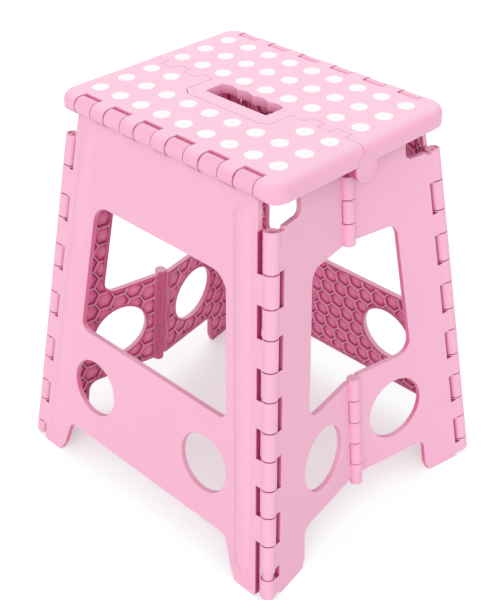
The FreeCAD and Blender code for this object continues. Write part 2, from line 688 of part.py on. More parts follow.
def corner_row(body, lines):
    """Knuckles of a leaf on its corner line: between the panel's bands, above them and at the closed foot."""
    gap = size("knuckle_gap")
    per_height = 1 / CORNER_LINE.z
    end_round = size("tube_end_round")
    soft = size("knuckle_round")
    bands = panel_bands(lines.side < 0)
    ranges = [(low[1] + gap, high[0] - gap, soft, soft) for low, high in zip(bands, bands[1:])]
    top_end = size("corner_top_height") * per_height
    ranges.append((bands[-1][1] + gap, top_end, soft, end_round))
    foot_start = size("foot_knuckle_base") * per_height
    foot_end = size("foot_knuckle_top") * per_height
    lowest_end = bands[0][0] - gap
    lowest_start = lowest_end - (ranges[0][1] - ranges[0][0])
    # Where there is room, a bare length of pin shows between the lowest knuckle and the foot
    if lowest_start > foot_end:
        ranges.append((lowest_start, lowest_end, soft, soft))
        ranges.append((foot_start, foot_end, size("foot_round"), end_round))
    else:
        ranges.append((foot_start, lowest_end, size("foot_round"), soft))
    reach = lines.side * (size("leaf_corner_gap") + size("rim") / 2)
    corner_knuckles(body, "corner", V(0, 0, 0), lines.corner, reach, ranges, "Sizes.leaf_thickness")
    corner_bore(body, "corner", V(0, 0, 0), lines.corner, foot_start + size("foot_knuckle_floor"), top_end)


# Seat halves, drawn as the front half with the fold line at Y = 0

def tooth_edges():
    """Edges of the fold teeth from the tongue to the seat's side."""
    edges = [size("tongue_half_width") + index * size("fold_tooth_pitch") for index in range(FOLD_TEETH)]
    return edges + [size("seat_width") / 2]


def own_teeth():
    """Ranges along X of a half's own teeth: the lug and two more on the left, two on the right."""
    edge = tooth_edges()
    left = [(-edge[5], -edge[4]), (-edge[3], -edge[2]), (-edge[1], -edge[0])]
    right = [(edge[1], edge[2]), (edge[3], edge[4])]
    return left + right


def seat_points(tongue):
    """Outline of a seat half from above, with its fold teeth and the tongue or the cut-out for it."""
    half = size("seat_width") / 2
    front = -size("seat_depth") / 2
    corner = size("seat_corner_radius")
    play = size("part_gap") / 2
    out = size("fold_tooth_reach") - play
    back = -size("fold_tooth_reach") - play
    edge = tooth_edges()
    grow = -play if tongue else play
    width = size("tongue_half_width") + grow
    reach = (size("tongue_reach") + grow) * (1 if tongue else -1)
    chamfer = (size("tongue_reach") - size("tongue_chamfer_across") + grow) * (1 if tongue else -1)
    slope = size("tongue_chamfer_along")
    points = [(-half, front, corner), (half, front, corner), (half, back, 0)]
    for far, near in ((edge[4] - play, edge[3] + play), (edge[2] - play, edge[1] + play)):
        points += [(far, back, 0), (far, out, 0), (near, out, 0), (near, back, 0)]
    points += [(width, back, 0), (width, chamfer, 0), (width - slope, reach, 0)]
    points += [(-width + slope, reach, 0), (-width, chamfer, 0), (-width, out, 0)]
    for near, far in ((-edge[1] + play, -edge[2] - play), (-edge[3] + play, -edge[4] - play)):
        points += [(near, out, 0), (near, back, 0), (far, back, 0), (far, out, 0)]
    points += [(-half, out, 0)]
    return points


def outer_edges(shape):
    """Names of the upper edges round the outside of a seat half."""
    half = size("seat_width") / 2
    front = -size("seat_depth") / 2
    names = []
    for index, edge in enumerate(shape.Edges, start=1):
        box = edge.BoundBox
        middle = edge.valueAt((edge.FirstParameter + edge.LastParameter) / 2)
        on_top = box.ZMin > size("seat_top_height") - TOLERANCE
        outside = abs(middle.x) > half - TOLERANCE or middle.y < front + size("seat_corner_radius") / 2
        if on_top and outside:
            names.append(f"Edge{index}")
    return names


def seat_cells(tongue):
    """Hollow cells under a seat half, left between its walls, beams and ribs."""
    wall = size("seat_width") / 2 - size("seat_wall")
    rib = size("seat_rib")
    front = -size("seat_depth") / 2 + size("seat_beam")
    back = -size("fold_beam")
    tongue_line = -size("tongue_reach") - size("seat_wall")
    middle = (front + tongue_line) / 2
    step = (2 * wall + rib) / SEAT_CELL_COLUMNS
    corner = rib / 2
    cells = []
    for column in range(SEAT_CELL_COLUMNS):
        x0 = -wall + column * step
        x1 = x0 + step - rib
        cells.append((x0, x1, front, middle - rib / 2))
        cells.append((x0, x1, middle + rib / 2, tongue_line))
    beside = size("tongue_half_width") + size("seat_wall")
    half_way = (beside + wall) / 2
    for sign in (-1, 1):
        for near, far in ((beside, half_way - rib / 2), (half_way + rib / 2, wall)):
            x0, x1 = sorted((sign * near, sign * far))
            cells.append((x0, x1, tongue_line + rib, back))
    if tongue:
        slot = size("handle_length") / 2 + size("handle_wall")
        side = size("tongue_half_width") - size("handle_wall")
        behind = -size("handle_back") - size("grip_wave") - size("handle_wall")
        before = size("handle_front") + size("handle_wall")
        tip = size("tongue_reach") - size("handle_wall") - size("part_gap")
        cells.append((-side, side, tongue_line + rib, behind))
        cells.append((-slot, slot, before, tip))
        for sign in (-1, 1):
            x0, x1 = sorted((sign * slot, sign * side))
            cells.append((x0, x1, 0, before - size("handle_wall")))
    curves = []
    for x0, x1, y0, y1 in cells:
        curves += box_outline(x0, x1, y0, y1, corner)
    return curves


def handle_slot():
    """Finger slot with waves along the edge that the fingers pull on."""
    half = size("handle_length") / 2
    front = size("handle_front")
    back = -size("handle_back")
    corner = size("handle_corner")
    step = 2 * half / GRIP_WAVES
    curves = outline([(half, back, 0), (half, front, corner), (-half, front, corner), (-half, back, 0)])
    back_line = 3
    del curves[back_line]
    for wave in range(GRIP_WAVES):
        start = -half + wave * step
        crest = V(start + step / 2, back - size("grip_wave"), 0)
        curves.append(Part.Arc(V(start, back, 0), crest, V(start + step, back, 0)))
    return curves


def handle_room():
    """Room for the fingers under the wall of the finger slot."""
    wall = size("handle_wall")
    half = size("handle_length") / 2 + wall
    back = -size("handle_back") - size("grip_wave") - wall
    return box_outline(-half, half, back, size("handle_front") + wall, size("seat_rib") / 2)


def dot_places(rows):
    """Places of the grip dots on one half: rows are counted from the fold line."""
    places = []
    for row in range(DOT_ROWS):
        y = -size("dot_first_row") - row * size("dot_row_pitch")
        for column in range(DOT_COLUMNS):
            x = (column - (DOT_COLUMNS - 1) / 2) * size("dot_column_pitch")
            if abs(x) + size("dot_radius") > rows[row]:
                places.append((x, y))
    return places


def seat_half(label, tongue, place):
    """One half of the seat. The rear half has the handle tongue and stands half a turn round."""
    top = size("seat_top_height")
    bottom = top - size("seat_thickness")
    half = size("seat_width") / 2
    gap = size("part_gap")
    body = doc.addObject("PartDesign::Body", label + "_body")
    under = FreeCAD.Placement(V(0, 0, bottom), FreeCAD.Rotation())
    above = FreeCAD.Placement(V(0, 0, top), FreeCAD.Rotation())
    slab = pad(body, "slab", outline(seat_points(tongue)), "Sizes.seat_thickness", under)
    doc.recompute()
    rounding = body.newObject("PartDesign::Fillet", "edge_rounding")
    rounding.Base = (slab, outer_edges(slab.Shape))
    rounding.setExpression("Radius", "Sizes.seat_edge_round")
    body.Tip = rounding
    cell_depth = "Sizes.seat_thickness - Sizes.deck_thickness"
    pocket(body, "cells", seat_cells(tongue), cell_depth, under, upwards=True)

    # Edge hinge: rounded underside, notches for the panel's knuckles and the pin's bore
    radius = size("edge_round")
    axis = V(-EDGE_AXIS_Y, EDGE_AXIS_Z, 0)
    diagonal = radius * cos(radians(45))
    beyond = radius + size("rim")
    low = V(axis.x, axis.y - radius, 0)
    quarter = [
        Part.Arc(V(axis.x - radius, axis.y, 0), V(axis.x - diagonal, axis.y - diagonal, 0), low),
        Part.LineSegment(low, V(axis.x, axis.y - beyond, 0)),
        Part.LineSegment(V(axis.x, axis.y - beyond, 0), V(axis.x - beyond, axis.y - beyond, 0)),
        Part.LineSegment(V(axis.x - beyond, axis.y - beyond, 0), V(axis.x - beyond, axis.y, 0)),
        Part.LineSegment(V(axis.x - beyond, axis.y, 0), V(axis.x - radius, axis.y, 0)),
    ]
    pocket(body, "edge_underside", quarter, None, frame(V(0, 0, 0), V(0, 1, 0), V(1, 0, 0)))
    notches = []
    sweeps = []
    sweep_radius = size("edge_knuckle_radius") + size("edge_knuckle_play")
    for index in range(EDGE_KNUCKLES):
        middle = edge_knuckle_middle(index)
        x0 = middle - size("edge_knuckle_width") / 2 - size("edge_knuckle_gap")
        x1 = middle + size("edge_knuckle_width") / 2 + size("edge_knuckle_gap")
        notches += box_outline(x0, x1, -EDGE_AXIS_Y - beyond, -EDGE_AXIS_Y + size("edge_notch_lip"))
        sweeps += box_outline(0, sweep_radius, x0, x1)
    pocket(body, "edge_notches", notches, None, under)
    edge_line = frame(V(0, -EDGE_AXIS_Y, EDGE_AXIS_Z), V(0, 0, -1), V(0, -1, 0))
    turned(body, "edge_sweep", sweeps, edge_line, cut=True)
    pin_half = edge_pin_half()
    rod(body, "edge_bore", "Sizes.edge_pin_radius + Sizes.running_fit", f"{2 * pin_half}",
        V(-pin_half, -EDGE_AXIS_Y, EDGE_AXIS_Z), V(1, 0, 0), cut=True)

    # Fold line: room for the other half's knuckles, then this half's own knuckles and lug
    room = []
    play = size("part_gap") / 2
    for x0, x1 in own_teeth():
        other0, other1 = -x1, -x0
        outer = other1 > half - TOLERANCE
        reach = size("fold_lug_radius") if outer else size("fold_knuckle_radius")
        room += box_outline(0, reach + gap, other0 - play, other1 + (gap if outer else play))
    fold_line = frame(V(0, 0, FOLD_AXIS_Z), V(0, 0, -1), V(0, -1, 0))
    turned(body, "fold_room", room, fold_line, cut=True)
    knuckles = []
    for x0, x1 in own_teeth()[1:]:
        knuckles += box_outline(0, size("fold_knuckle_radius"), x0 + play, x1 - play)
    lug_back = -half + size("fold_lug_width")
    lug_end = own_teeth()[0][1] - play
    knuckle = size("fold_knuckle_radius")
    lug = size("fold_lug_radius")
    knuckles += outline([(0, -half, 0), (lug, -half, 0), (lug, lug_back, 0), (knuckle, lug_back, 0),
                         (knuckle, lug_end, 0), (0, lug_end, 0)])
    turned(body, "fold_knuckles", knuckles, fold_line)
    bore = size("fold_pin_radius") + size("running_fit")
    head = size("pin_head_radius") + 2 * size("running_fit")
    head_floor = -half + size("pin_head_thickness") + size("pin_head_sink")
    inner = size("tongue_half_width")
    bores = outline([(0, -half, 0), (head, -half, 0), (head, head_floor, 0), (bore, head_floor, 0),
                     (bore, -inner, 0), (0, -inner, 0)])
    bores += box_outline(0, bore, inner, half)
    turned(body, "fold_bores", bores, fold_line, cut=True)
    if tongue:
        pocket(body, "finger_slot", handle_slot(), None, under)
        room_depth = "Sizes.seat_thickness - Sizes.handle_wall_depth"
        pocket(body, "finger_room", handle_room(), room_depth, under, upwards=True)
    dots = [circle(x, y, size("dot_radius") + size("running_fit")) for x, y in dot_places(dot_rows(tongue))]
    pocket(body, "dot_pockets", dots, "Sizes.dot_recess", above)
    return named(body, label, place)


def dot_rows(tongue):
    """Nearest that a dot may come to the middle, for each row: the cut-out for the tongue keeps some away."""
    clear_of_tongue = size("tongue_half_width") + size("dot_radius") * 2
    return (0 if tongue else clear_of_tongue, 0, 0)


def grip_dots(label, tongue, place):
    """White discs in the pockets of one seat half, as one group."""
    discs = []
    floor = size("seat_top_height") - size("dot_recess")
    for index, (x, y) in enumerate(dot_places(dot_rows(tongue))):
        disc = doc.addObject("Part::Cylinder", f"{label}_{index}")
        disc.setExpression("Radius", "Sizes.dot_radius")
        disc.setExpression("Height", "Sizes.dot_thickness")
        disc.Placement = FreeCAD.Placement(V(x, y, floor), FreeCAD.Rotation())
        discs.append(disc)
    group = doc.addObject("Part::Compound", label + "_group")
    group.Links = discs
    return named(group, label, place)


# Hinge pins

def edge_pin_half():
    """Half length of an edge hinge pin."""
    outer = (EDGE_KNUCKLES - 1) / 2 * size("edge_knuckle_pitch") + size("edge_knuckle_width") / 2
    return outer + size("edge_pin_end")


def plain_pin(label, radius, length, start, along):
    """Straight round pin. Radius is an expression, length a number."""
    pin = doc.addObject("Part::Cylinder", label + "_pin")
    pin.setExpression("Radius", radius)
    pin.setExpression("Height", f"{length}")
    return named(pin, label, FreeCAD.Placement(start, FreeCAD.Rotation(V(0, 0, 1), along)))


def edge_pin(label, side):
    """Pin of the seat's front or rear edge hinge."""
    half = edge_pin_half()
    start = V(-half, side * EDGE_AXIS_Y, EDGE_AXIS_Z)
    return plain_pin(label, "Sizes.edge_pin_radius", 2 * half, start, V(1, 0, 0))


def fold_pin(label, turn):
    """Centre hinge pin with its disc head in the lug, drawn for the left side."""
    half = size("seat_width") / 2
    face = -half + size("pin_head_sink")
    body = doc.addObject("PartDesign::Body", label + "_body")
    centre = V(face, 0, FOLD_AXIS_Z)
    rod(body, "head", "Sizes.pin_head_radius", "Sizes.pin_head_thickness", centre, V(1, 0, 0))
    length = half - size("pin_head_sink") - size("tongue_half_width") - size("part_gap")
    rod(body, "shank", "Sizes.fold_pin_radius", f"{length}", V(face, 0, FOLD_AXIS_Z), V(1, 0, 0))
    return named(body, label, turn)


def corner_pin(label, side, turn):
    """Pin of one corner hinge, standing on the closed foot of the leaf, with a moulding hole in its top."""
    lines = LeafLines(side)
    per_height = 1 / CORNER_LINE.z
    start = size("foot_knuckle_base") * per_height + size("foot_knuckle_floor")
    end = size("corner_top_height") * per_height - size("tube_end_round")
    body = doc.addObject("PartDesign::Body", label + "_body")
    rod(body, "shank", "Sizes.corner_pin_radius", f"{end - start}", lines.corner * start, lines.corner)
    depth = size("corner_pin_hole_depth")
    rod(body, "moulding_hole", "Sizes.corner_pin_hole", "Sizes.corner_pin_hole_depth",
        lines.corner * (end - depth), lines.corner, cut=True)
    place = lines.place if turn is None else turn.multiply(lines.place)
    return named(body, label, place)


def side_pin(label, upper, turn):
    """Pin of one side hinge: a length in each knuckle of the leaf that owns the outer ones, as one group."""
    lines = LeafLines(-1)
    pins = []
    for index, (low, high) in enumerate(lines.knuckles(upper)):
        pin = doc.addObject("Part::Cylinder", f"{label}_{index}")
        pin.setExpression("Radius", "Sizes.side_pin_radius")
        pin.setExpression("Height", f"{high - low}")
        along = FreeCAD.Rotation(V(0, 0, 1), lines.hinge)
        pin.Placement = FreeCAD.Placement(lines.hinge_foot + lines.hinge * low, along)
        pins.append(pin)
    group = doc.addObject("Part::Compound", label + "_group")
    group.Links = pins
    place = lines.place if turn is None else turn.multiply(lines.place)
    return named(group, label, place)


# The assembly

parts = [
    leg_panel("front", PANEL_FRAME),
    leg_panel("rear", HALF_TURN.multiply(PANEL_FRAME)),
    seat_half("seat_front_half", False, FreeCAD.Placement()),
    seat_half("seat_rear_half", True, HALF_TURN),
    grip_dots("grip_dots_front", False, FreeCAD.Placement()),
    grip_dots("grip_dots_rear", True, HALF_TURN),
    edge_pin("seat_edge_pin_front", -1),
    edge_pin("seat_edge_pin_rear", 1),
    fold_pin("seat_centre_pin_left", FreeCAD.Placement()),
    fold_pin("seat_centre_pin_right", HALF_TURN),
]
for hand, turn in (("right", None), ("left", HALF_TURN)):
    front_side = -1 if turn is None else 1
    parts.append(side_leaf(f"{hand}_front_leaf", front_side, turn))
    parts.append(side_leaf(f"{hand}_rear_leaf", -front_side, turn))
    parts.append(corner_pin(f"{hand}_front_corner_pin", front_side, turn))
    parts.append(corner_pin(f"{hand}_rear_corner_pin", -front_side, turn))
    parts.append(side_pin(f"{hand}_upper_side_pin", True, turn))
    parts.append(side_pin(f"{hand}_lower_side_pin", False, turn))

doc.recompute()
for item in doc.Objects:
    if "Invalid" in item.State or "Error" in item.State:
        raise RuntimeError(f"{item.Label} failed: {item.State}")
for item in parts:
    if item.Shape.isNull() or not item.Shape.isValid():
        raise RuntimeError(f"{item.Label} has no valid shape")

os.makedirs("parts", exist_ok=True)
for item in parts:
    item.Shape.exportStep(f"parts/{item.Label}.step")
    print(item.Label, len(item.Shape.Solids), "solids", round(item.Shape.Volume), "mm3")
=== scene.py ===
# %% [markdown]
# # A folding step stool
# The real object is moulded from pink polypropylene in eight large pieces: two seat halves, two leg panels
# and four side leaves. White grip dots are let into the seat. The solids come from the CAD model, already in
# place, so this lesson adds what a moulding shop adds: the ribs inside the plates, the finishes, and light.

# %% Load the frame
from math import cos, pi, radians, sin, sqrt

import bmesh
import bpy
from mathutils import Matrix, Vector


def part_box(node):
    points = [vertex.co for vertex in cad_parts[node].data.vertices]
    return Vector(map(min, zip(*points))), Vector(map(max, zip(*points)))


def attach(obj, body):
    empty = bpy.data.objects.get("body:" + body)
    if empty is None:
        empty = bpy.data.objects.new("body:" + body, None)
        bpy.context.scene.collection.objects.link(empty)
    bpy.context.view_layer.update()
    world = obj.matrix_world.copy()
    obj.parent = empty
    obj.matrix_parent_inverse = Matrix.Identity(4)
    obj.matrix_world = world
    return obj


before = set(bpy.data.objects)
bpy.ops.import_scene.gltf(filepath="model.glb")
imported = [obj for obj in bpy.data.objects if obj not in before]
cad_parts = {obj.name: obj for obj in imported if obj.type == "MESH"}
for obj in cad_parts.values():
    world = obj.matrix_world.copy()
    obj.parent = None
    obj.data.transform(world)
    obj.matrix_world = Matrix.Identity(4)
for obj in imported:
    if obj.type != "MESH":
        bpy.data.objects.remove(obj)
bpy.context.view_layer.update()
MM = 0.001

# %% [markdown]
# ## Two small helpers
# Colours are written as the hex values that a designer would pick on screen, so one function turns them into
# the linear numbers that Blender's sockets want. The other function adds a node to any tree, sets its
# properties and fills its inputs with values or with links. For most nodes the first output is the one that
# matters, so a link may be given as the node itself. Three kinds of node come up so often that they get short
# names.

# %% Helpers for colours and nodes
MATHS = "ShaderNodeMath"
RANGE = "ShaderNodeMapRange"
VECTOR = "ShaderNodeVectorMath"


def linear(hex_colour):
    """Turn an sRGB hex colour into a linear RGBA tuple."""
    channels = [int(hex_colour[i:i + 2], 16) / 255 for i in (1, 3, 5)]
    return tuple(c / 12.92 if c <= 0.04045 else ((c + 0.055) / 1.055) ** 2.4 for c in channels) + (1.0,)


def add(tree, kind, inputs=None, **settings):
    """Add a node with its settings. Each input is a value, an output to link, or a node to link from."""
    node = tree.nodes.new(kind)
    for name, value in settings.items():
        setattr(node, name, value)
    for socket, value in (inputs or {}).items():
        if isinstance(value, bpy.types.Node):
            value = value.outputs[0]
        if isinstance(value, bpy.types.NodeSocket):
            tree.links.new(value, node.inputs[socket])
        else:
            node.inputs[socket].default_value = value
    return node


# %% [markdown]
# ## Moulded polypropylene
# Polypropylene comes out of the mould with a satin skin: the tool's fine spark-eroded grain breaks up the
# highlights, and the colour is mixed into the plastic, so it varies only a little where the melt flowed. The
# real grain is about 0.3 mm. At this distance that would vanish, so it is drawn at 1.2 mm and kept shallow.

# %% Pink polypropylene
FLOW_SIZE = 70 * MM
GRAIN_SIZE = 1.2 * MM
GRAIN_HEIGHT = 0.1 * MM
SHEEN_SPREAD = 0.05
POLYPROPYLENE_IOR = 1.49
INSIDE_PAINTED_SHADE = "#E2689A"


def polypropylene(name, light, deep, roughness, grain_size, grain_depth):
    """Satin moulded plastic with a faint flow pattern in its colour and a fine grain on its surface."""
    material = bpy.data.materials.new(name)
    material.use_nodes = True
    tree = material.node_tree
    shader = tree.nodes["Principled BSDF"]
    place = add(tree, "ShaderNodeTexCoord").outputs["Object"]
    flow = add(tree, "ShaderNodeTexNoise", {"Vector": place, "Scale": 1 / FLOW_SIZE, "Detail": 2.0})
    colour = add(tree, "ShaderNodeMixRGB", {"Fac": flow.outputs["Fac"], "Color1": linear(light),
                                            "Color2": linear(deep)})
    tree.links.new(colour.outputs["Color"], shader.inputs["Base Color"])
    noise = add(tree, "ShaderNodeTexNoise", {"Vector": place, "Scale": 1 / grain_size, "Detail": 3.0})
    grain = noise.outputs["Fac"]
    sheen = add(tree, RANGE, {"Value": grain, "To Min": roughness - SHEEN_SPREAD,
                              "To Max": roughness + SHEEN_SPREAD})
    tree.links.new(sheen.outputs["Result"], shader.inputs["Roughness"])
    bump = add(tree, "ShaderNodeBump", {"Height": grain, "Strength": grain_depth, "Distance": GRAIN_HEIGHT})
    tree.links.new(bump.outputs["Normal"], shader.inputs["Normal"])
    shader.inputs["IOR"].default_value = POLYPROPYLENE_IOR
    return material


def tint(material, amount, colour):
    """Bring another colour into a material by an amount from 0 to 1."""
    tree = material.node_tree
    shader = tree.nodes["Principled BSDF"]
    plain = shader.inputs["Base Color"].links[0].from_socket
    mixed = add(tree, "ShaderNodeMixRGB", {"Fac": amount, "Color1": plain, "Color2": linear(colour)})
    tree.links.new(mixed.outputs["Color"], shader.inputs["Base Color"])


pink = polypropylene("pink_polypropylene_moulded", light="#F4B4CF", deep="#F2AECB", roughness=0.42,
                     grain_size=GRAIN_SIZE, grain_depth=0.25)
shade = pink.node_tree
coordinates = add(shade, "ShaderNodeTexCoord").outputs
# Painted shade: faces that look in towards the stool's middle are painted a deeper pink, for the light that
# bounces between the pink walls inside
level_place = add(shade, VECTOR, {0: coordinates["Object"], 1: (1, 1, 0)}, operation="MULTIPLY")
away = add(shade, VECTOR, {0: level_place}, operation="NORMALIZE")
outwards = add(shade, VECTOR, {0: away, 1: coordinates["Normal"]}, operation="DOT_PRODUCT").outputs["Value"]
tint(pink, add(shade, RANGE, {"Value": outwards, "From Min": -0.25, "From Max": -0.65}), INSIDE_PAINTED_SHADE)
print("made", pink.name)

# %% [markdown]
# ## Painted shade in the corner hinges
# The knuckles of the corner hinges leave slots a few millimetres wide, and the light in them goes crimson, so
# crimson shade is painted on their walls.
# The four corner lines mirror each other, so a point is first moved to one corner by taking its coordinates
# without their signs. The knuckles face away from that line. The walls of the slots lie near it and don't.

# %% Slots of the corner hinges
CORNER_FOOT = Vector((191.7, 167.7, 0.0)) * MM
CORNER_TOP = Vector((143.0, 117.5, 401.0)) * MM
CORNER_LENGTH = (CORNER_TOP - CORNER_FOOT).length
CORNER_LINE = (CORNER_TOP - CORNER_FOOT).normalized()
SLOT_REACH = 12.5 * MM
SLOT_FADE = 2 * MM
TOP_FADE = (1 * MM, 3 * MM)
SLOT_PAINTED_SHADE = "#B23B6C"

one_corner = add(shade, VECTOR, {0: coordinates["Object"]}, operation="ABSOLUTE")
signs = add(shade, VECTOR, {0: coordinates["Object"]}, operation="SIGN")
facing = add(shade, VECTOR, {0: coordinates["Normal"], 1: signs}, operation="MULTIPLY")
from_foot = add(shade, VECTOR, {0: one_corner, 1: CORNER_FOOT}, operation="SUBTRACT")
along = add(shade, VECTOR, {0: from_foot, 1: CORNER_LINE}, operation="DOT_PRODUCT").outputs["Value"]
on_line = add(shade, VECTOR, {0: along, 1: CORNER_LINE}, operation="MULTIPLY")
off_line = add(shade, VECTOR, {0: from_foot, 1: on_line}, operation="SUBTRACT")
distance = add(shade, VECTOR, {0: off_line}, operation="LENGTH").outputs["Value"]
radial = add(shade, VECTOR, {0: off_line}, operation="NORMALIZE")
turned_away = add(shade, VECTOR, {0: facing, 1: radial}, operation="DOT_PRODUCT").outputs["Value"]
near = add(shade, RANGE, {"Value": distance, "From Min": SLOT_REACH + SLOT_FADE, "From Max": SLOT_REACH})
slot_wall = add(shade, RANGE, {"Value": turned_away, "From Min": 0.3, "From Max": 0.05})
below_top = add(shade, RANGE, {"Value": along, "From Min": CORNER_LENGTH - TOP_FADE[0],
                               "From Max": CORNER_LENGTH - TOP_FADE[1]})
near_wall = add(shade, MATHS, {0: near, 1: slot_wall}, operation="MULTIPLY")
# Painted shade: slot walls near the corner lines are tinted crimson
tint(pink, add(shade, MATHS, {0: near_wall, 1: below_top}, operation="MULTIPLY"), SLOT_PAINTED_SHADE)
print("shaded the slots within", SLOT_REACH / MM, "mm of the corner lines")

# %% [markdown]
# ## The tread
# The seat's top has a deeper grain against slipping, and its upward faces are painted paler than the edge as
# painted light and sheen from above. The walls of the finger slot and of the hinge notches stand close
# together, and crimson shade is painted on them, deeper further down. Both follow from where a point lies on
# the open stool and the way it faces there, so they keep in every pose.

# %% Seat polypropylene
SEAT_CORNER = 22.0 * MM
SEAT_HALF = Vector((154.0, 129.0, 500.0)) * MM
SEAT_TOP = 450.0 * MM
EDGE_FADE = (1 * MM, 3 * MM)
HANDLE_SHADE = (2 * MM, 16 * MM)
NOTCH_SHADE = (0, 6 * MM)
HINGE_BEAM = (30 * MM, 24 * MM)
TOP_PAINTED_LIGHT = "#F6C1D8"
WALL_PAINTED_SHADE = "#C95889"

tread = polypropylene("pink_polypropylene_tread", light="#F4B2CE", deep="#F2ACCA", roughness=0.42,
                      grain_size=GRAIN_SIZE, grain_depth=0.4)
shade = tread.node_tree
coordinates = add(shade, "ShaderNodeTexCoord").outputs
upwards = add(shade, "ShaderNodeSeparateXYZ", {0: coordinates["Normal"]}).outputs["Z"]
# Painted light: faces that look up are painted paler, as light and sheen from above
tint(tread, add(shade, RANGE, {"Value": upwards, "From Min": 0.5, "From Max": 0.95}), TOP_PAINTED_LIGHT)
# Painted shade: upright walls inside the seat's outline are tinted crimson, deeper further below the top
spread = add(shade, VECTOR, {0: coordinates["Object"]}, operation="ABSOLUTE")
margin = add(shade, VECTOR, {0: SEAT_HALF, 1: spread}, operation="SUBTRACT")
from_edge = add(shade, "ShaderNodeSeparateXYZ", {0: margin}).outputs["Y"]
past = add(shade, VECTOR, {0: Vector((SEAT_CORNER, SEAT_CORNER, 0)), 1: margin}, operation="SUBTRACT")
round_part = add(shade, VECTOR, {0: past, 1: (0, 0, 0)}, operation="MAXIMUM")
arc = add(shade, VECTOR, {0: round_part}, operation="LENGTH").outputs["Value"]
nearest = add(shade, MATHS, {0: SEAT_CORNER, 1: arc}, operation="SUBTRACT")
height = add(shade, "ShaderNodeSeparateXYZ", {0: coordinates["Object"]}).outputs["Z"]
inside = add(shade, RANGE, {"Value": nearest, "From Min": EDGE_FADE[0], "From Max": EDGE_FADE[1]})
upright_wall = add(shade, RANGE, {"Value": upwards, "From Min": 0.6, "From Max": 0.2})
handle = add(shade, RANGE, {"Value": height, "From Min": SEAT_TOP - HANDLE_SHADE[0],
                            "From Max": SEAT_TOP - HANDLE_SHADE[1]})
notch = add(shade, RANGE, {"Value": height, "From Min": SEAT_TOP - NOTCH_SHADE[0],
                           "From Max": SEAT_TOP - NOTCH_SHADE[1]})
by_hinge = add(shade, RANGE, {"Value": from_edge, "From Min": HINGE_BEAM[0], "From Max": HINGE_BEAM[1]})
depth = add(shade, "ShaderNodeMixRGB", {"Fac": by_hinge, "Color1": handle, "Color2": notch})
inner_wall = add(shade, MATHS, {0: inside, 1: upright_wall}, operation="MULTIPLY")
tint(tread, add(shade, MATHS, {0: inner_wall, 1: depth}, operation="MULTIPLY"), WALL_PAINTED_SHADE)
print("made", tread.name)

# %% [markdown]
# ## Who wears what
# The dots are a soft white elastomer. The seat halves get the tread, and all other nodes the moulded plastic.

# %% Dress the nodes
grip = polypropylene("white_grip_elastomer", light="#FAF8F9", deep="#F6F3F5", roughness=0.5,
                     grain_size=0.9 * MM, grain_depth=0.4)
for name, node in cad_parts.items():
    node.data.materials.clear()
    if name.startswith("grip_dots"):
        node.data.materials.append(grip)
    elif name.startswith("seat_") and name.endswith("_half"):
        node.data.materials.append(tread)
    else:
        node.data.materials.append(pink)
print("finished", len(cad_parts), "nodes with", pink.name, tread.name, "and", grip.name)

# %% [markdown]
# ## The ribbed inside
# The inside is the core half of the mould. Its colours are painted shade: light goes from wall to wall in its
# pockets and comes out a deeper pink each time, so the tops of the ribs are painted palest and the corners of
# the pockets nearly crimson. The ribs carry a number that says how deep each point lies, and a colour ramp
# reads it.

# %% Ribbed polypropylene
POCKET_PAINTED_SHADES = ((0.12, "#FFB8D6"), (0.3, "#FF9FC6"), (0.55, "#F680B2"), (0.8, "#DB548E"))

# Painted shade: a deeper pink than outside, which the ramp below replaces as base colour
ribbed = polypropylene("pink_polypropylene_ribbed", light="#F893BC", deep="#F58EB8", roughness=0.5,
                       grain_size=GRAIN_SIZE, grain_depth=0.2)
shade = ribbed.node_tree
depth_mark = add(shade, "ShaderNodeAttribute", attribute_name="pocket_depth")
ramp = add(shade, "ShaderNodeValToRGB", {"Fac": depth_mark.outputs["Fac"]})
# Painted shade: the ramp paints rib tops pale and pocket corners crimson by their depth
ramp.color_ramp.elements[0].color = linear("#FFD0E2")
ramp.color_ramp.elements[1].color = linear("#A02C60")
for stop, colour in POCKET_PAINTED_SHADES:
    ramp.color_ramp.elements.new(stop).color = linear(colour)
shade.links.new(ramp.outputs["Color"], shade.nodes["Principled BSDF"].inputs["Base Color"])
print("made", ribbed.name, "with", len(ramp.color_ramp.elements), "depths of colour")

# %% [markdown]
# ## Honeycomb ribs
# The inner faces of the panels and leaves are stiffened by a honeycomb: hexagonal pockets 21 to 24 mm apart,
# with thin ribs between them and a softly crowned floor in each. They could be modelled rib by rib, but a
# rule is shorter: fill each recess with one slab and cut a lattice of hexagonal plugs out of it. Geometry
# Nodes lay out the lattice and do the cut, so pitch, rib width and crown stay named inputs.

# %% A tree that turns a slab into a honeycomb


